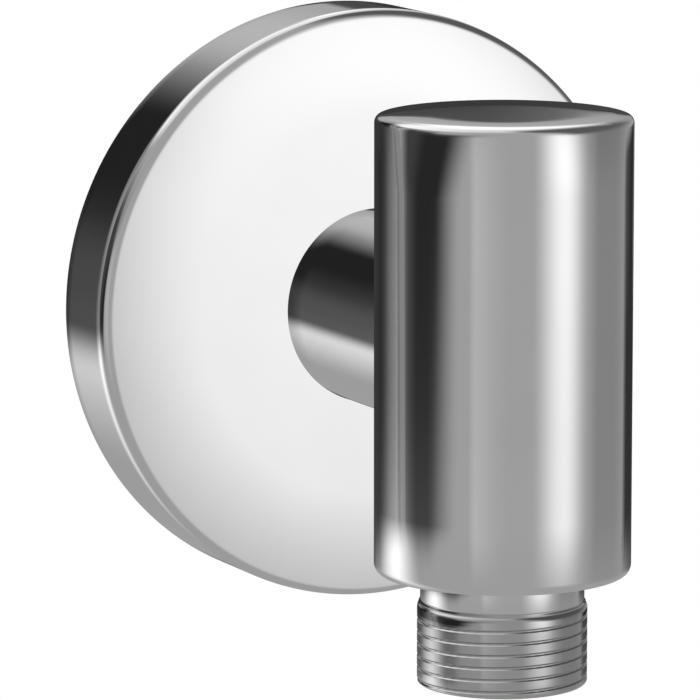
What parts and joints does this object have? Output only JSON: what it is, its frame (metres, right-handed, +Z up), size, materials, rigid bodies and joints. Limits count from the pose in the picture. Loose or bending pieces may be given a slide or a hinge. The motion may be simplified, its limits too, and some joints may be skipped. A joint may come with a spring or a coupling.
{
  "type": "wall outlet elbow",
  "caption": "Round wall outlet elbow for a shower hose: wall flange, horizontal neck and upright cylinder with a threaded hose nipple and a non-return valve.",
  "frame": {"origin": "on the neck's axis, in the plane of the finished wall", "axes": "+Y into the wall along the neck, +Z up along the cylinder, so the part stands out of the wall towards -Y"},
  "size_m": [0.0754, 0.0767, 0.0796],
  "materials": {
    "chrome_plate": "mirror-bright chrome plate on brass",
    "bare_brass": "turned, bare",
    "seal_rubber": "moulded, matt black",
    "valve_plastic": "moulded, off-white",
    "closer_plastic": "moulded, slate grey",
    "bright_steel": "bright stainless"
  },
  "bodies": {
    "fitting": {"elbow_body": "chrome_plate", "wall_flange": "chrome_plate", "hose_nipple": "chrome_plate", "wall_nipple": "bare_brass", "flange_o_ring": "seal_rubber", "wall_gasket": "seal_rubber", "spigot_o_ring_rear": "seal_rubber", "spigot_o_ring_front": "seal_rubber", "nipple_seal": "seal_rubber", "valve_o_ring": "seal_rubber", "valve_housing": "valve_plastic", "valve_guide": "valve_plastic", "grub_screw": "bright_steel", "valve_spring": "bright_steel"},
    "closer": {"valve_poppet": "closer_plastic", "poppet_seal": "seal_rubber"}
  },
  "joints": [
    {"name": "poppet_slide", "type": "slide", "parent": "fitting", "child": "closer", "axis": [0, 0, -1], "range_m": [0, 0.003], "stiffness_N_per_m": 60, "springref_m": -0.002, "deforming": ["valve_spring"]}
  ]
}
